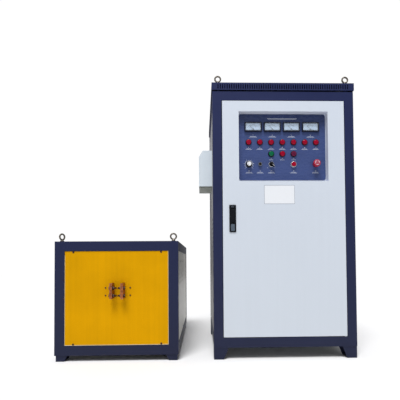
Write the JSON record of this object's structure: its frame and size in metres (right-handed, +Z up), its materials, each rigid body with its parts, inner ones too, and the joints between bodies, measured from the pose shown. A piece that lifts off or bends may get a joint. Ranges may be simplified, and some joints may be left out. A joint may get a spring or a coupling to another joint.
{
  "type": "induction furnace",
  "caption": "Induction furnace made of a tall power cabinet with a hinged door and recessed instruments, and a low heating station with copper output terminals.",
  "frame": {"origin": "on the floor, at the centre of the footprint of the whole object's bounding box", "axes": "+X to the viewer's right from the heating station to the power cabinet, +Y from the fronts to the rears, +Z up; the fronts face -Y"},
  "size_m": [1.56, 1.01, 1.4929],
  "materials": {
    "frame_paint": "dark navy powder coat, satin",
    "door_paint": "pale blue-grey powder coat, satin",
    "side_paint": "warm light grey powder coat",
    "pan_paint": "light grey paint",
    "box_paint": "light grey-blue paint",
    "box_base_paint": "grey-green paint",
    "board_blue": "blue anodised and screen-printed sheet",
    "amber_board": "amber insulating board",
    "copper": "bare copper bar, dulled",
    "winding_copper": "varnished copper winding",
    "zinc_steel": "zinc plated",
    "galvanised": "galvanised sheet",
    "aluminium": "milled aluminium",
    "capacitor_can": "sleeved aluminium can",
    "brass": "machined brass",
    "gland_plastic": "black polyamide",
    "black_plastic": "black moulded plastic",
    "board_green": "solder-masked circuit board",
    "rubber": "foamed sealing strip",
    "lock_black": "black coated zinc casting",
    "lock_silver": "satin chrome",
    "meter_glass": "clear window",
    "needle_black": "black needle",
    "red_lens": "translucent red lens",
    "green_lens": "translucent green lens",
    "dark_red": "dark red moulding",
    "red_plastic": "red moulding",
    "chrome": "nickel plated",
    "core_iron": "varnished iron laminations"
  },
  "bodies": {
    "cabinet": {"cabinet_frame": "frame_paint", "cabinet_feet": "frame_paint", "cabinet_top_cap": "frame_paint", "cabinet_eye_bolts": "zinc_steel", "cabinet_side_panels": "side_paint", "cabinet_rear_panel": "side_paint", "cabinet_screws": "zinc_steel", "cabinet_mounting_plates": "galvanised", "main_breaker": "black_plastic", "cold_plate": "aluminium", "power_modules": "black_plastic", "dc_capacitors": "capacitor_can", "smoothing_reactor": "winding_copper", "control_board": "board_green", "cabinet_busbars": "copper", "cabinet_hose_nipples": "brass", "cabinet_cable_glands": "gland_plastic", "fan_housing": "black_plastic", "door_hinge_pins": "zinc_steel", "side_box_cover": "box_paint", "side_box_base": "box_base_paint"},
    "breaker_toggle": {"breaker_lever": "black_plastic"},
    "fan": {"fan_rotor": "black_plastic"},
    "door": {"door_leaf": "door_paint", "instrument_pan": "pan_paint", "instrument_board": "board_blue", "door_hinge_lugs": "zinc_steel", "door_seal": "rubber", "lock_housing": "lock_black", "meter_housings": "black_plastic", "meter_lenses": "meter_glass", "red_lamps": "red_lens", "green_lamp": "green_lens", "alarm_buzzer": "dark_red", "switch_and_lamp_bodies": "black_plastic", "footswitch_socket": "chrome"},
    "lock_lever": {"lock_handle": "lock_black"},
    "lock_push": {"lock_button": "lock_silver"},
    "latch": {"latch_bolt": "zinc_steel"},
    "needle_1": {"meter_needle_1": "needle_black"},
    "needle_2": {"meter_needle_2": "needle_black"},
    "needle_3": {"meter_needle_3": "needle_black"},
    "needle_4": {"meter_needle_4": "needle_black"},
    "knob": {"power_knob": "black_plastic"},
    "selector": {"selector_lever": "black_plastic"},
    "button": {"push_button": "red_plastic"},
    "stop_stem": {"emergency_stem": "dark_red"},
    "stop_head": {"emergency_head": "red_plastic"},
    "station": {"station_frame": "frame_paint", "station_feet": "frame_paint", "station_cover_panels": "side_paint", "station_front_panel": "amber_board", "output_terminals": "copper", "station_fasteners": "zinc_steel", "station_eye_bolts": "zinc_steel", "transformer_core": "core_iron", "transformer_windings": "winding_copper", "resonant_capacitors": "aluminium", "station_hose_nipples": "brass", "station_cable_glands": "gland_plastic"}
  },
  "joints": [
    {"name": "station_slide", "type": "slide", "parent": "cabinet", "child": "station", "axis": [-1, 0, 0], "range_m": [0, 0.4]},
    {"name": "door_hinge", "type": "hinge", "parent": "cabinet", "child": "door", "pos_m": [0.719, -0.454, 0.7295], "axis": [0, 0, 1], "range_deg": [0, 105]},
    {"name": "lock_lever_tilt", "type": "hinge", "parent": "door", "child": "lock_lever", "pos_m": [0.1335, -0.459, 0.774], "axis": [-1, 0, 0], "range_deg": [0, 38], "stiffness_Nm_per_rad": 0.15, "springref_deg": -11.46},
    {"name": "latch_slide", "type": "slide", "parent": "door", "child": "latch", "axis": [1, 0, 0], "range_m": [0, 0.0115]},
    {"name": "lock_button_push", "type": "slide", "parent": "door", "child": "lock_push", "axis": [0, 1, 0], "range_m": [0, 0.004], "stiffness_N_per_m": 400, "springref_m": -0.002},
    {"name": "power_knob_turn", "type": "hinge", "parent": "door", "child": "knob", "pos_m": [0.225, -0.4285, 1.018], "axis": [0, 1, 0], "range_deg": [0, 270]},
    {"name": "selector_turn", "type": "hinge", "parent": "door", "child": "selector", "pos_m": [0.344, -0.4285, 1.018], "axis": [0, 1, 0], "range_deg": [0, 90]},
    {"name": "push_button_press", "type": "slide", "parent": "door", "child": "button", "axis": [0, 1, 0], "range_m": [0, 0.0045], "stiffness_N_per_m": 500, "springref_m": -0.002},
    {"name": "emergency_push", "type": "slide", "parent": "door", "child": "stop_stem", "axis": [0, 1, 0], "range_m": [0, 0.005]},
    {"name": "emergency_twist", "type": "hinge", "parent": "stop_stem", "child": "stop_head", "pos_m": [0.58, -0.4285, 1.018], "axis": [0, 1, 0], "range_deg": [0, 45], "stiffness_Nm_per_rad": 0.05, "springref_deg": -5.73},
    {"name": "breaker_toggle_tilt", "type": "hinge", "parent": "cabinet", "child": "breaker_toggle", "pos_m": [0.2035, 0.046, 1.2055], "axis": [1, 0, 0], "range_deg": [0, 40]},
    {"name": "fan_spin", "type": "hinge", "parent": "cabinet", "child": "fan", "pos_m": [0.404, 0.19, 1.18], "axis": [0, 1, 0], "continuous": true},
    {"name": "needle_1_turn", "type": "hinge", "parent": "door", "child": "needle_1", "pos_m": [0.24855, -0.4285, 1.2075], "axis": [0, 1, 0], "range_deg": [0, 90], "stiffness_Nm_per_rad": 0.0004, "springref_deg": -2.86},
    {"name": "needle_2_turn", "type": "hinge", "parent": "door", "child": "needle_2", "pos_m": [0.35085, -0.4285, 1.2075], "axis": [0, 1, 0], "range_deg": [0, 90], "stiffness_Nm_per_rad": 0.0004, "springref_deg": -2.86},
    {"name": "needle_3_turn", "type": "hinge", "parent": "door", "child": "needle_3", "pos_m": [0.45315, -0.4285, 1.2075], "axis": [0, 1, 0], "range_deg": [0, 90], "stiffness_Nm_per_rad": 0.0004, "springref_deg": -2.86},
    {"name": "needle_4_turn", "type": "hinge", "parent": "door", "child": "needle_4", "pos_m": [0.55545, -0.4285, 1.2075], "axis": [0, 1, 0], "range_deg": [0, 90], "stiffness_Nm_per_rad": 0.0004, "springref_deg": -2.86}
  ],
  "couplings": [
    {"joint": "latch_slide", "follows": "lock_lever_tilt", "m_per_rad": 0.017}
  ]
}
